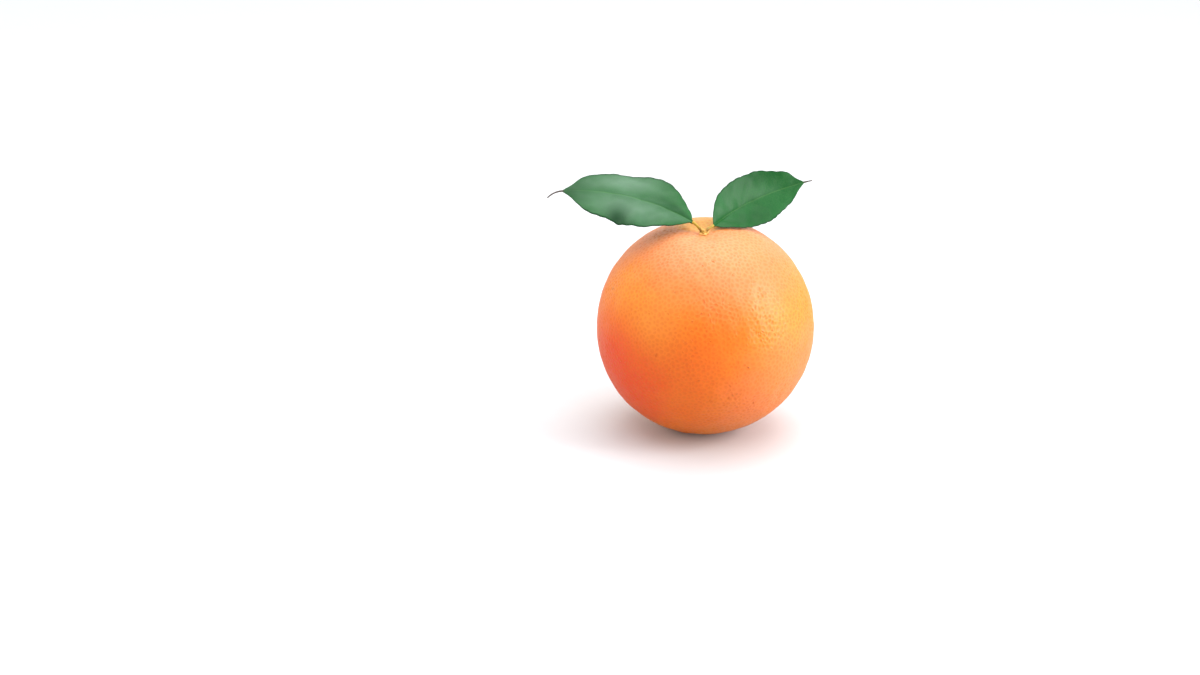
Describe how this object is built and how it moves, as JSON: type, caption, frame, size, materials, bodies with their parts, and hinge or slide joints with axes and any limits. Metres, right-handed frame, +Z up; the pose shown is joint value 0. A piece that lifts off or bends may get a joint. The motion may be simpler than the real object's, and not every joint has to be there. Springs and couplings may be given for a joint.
{
  "type": "whole grapefruit with leaves",
  "caption": "Whole round grapefruit with pitted peel, a short twig stub and leaves on bent petioles, resting on a small flat spot.",
  "frame": {"origin": "on the flat resting spot, straight under the middle of the fruit", "axes": "+Z up from the resting spot, +X from the left leaf to the right leaf, and the stem end leans towards -Y"},
  "size_m": [0.135, 0.1098, 0.1296],
  "materials": {
    "peel": "satin",
    "calyx": "matte",
    "stalk": "matte",
    "leaf": "satin"
  },
  "bodies": {
    "root": {"fruit": "peel", "calyx": "calyx", "stalk": "stalk", "leaf_left": "leaf", "leaf_right": "leaf"}
  },
  "joints": []
}
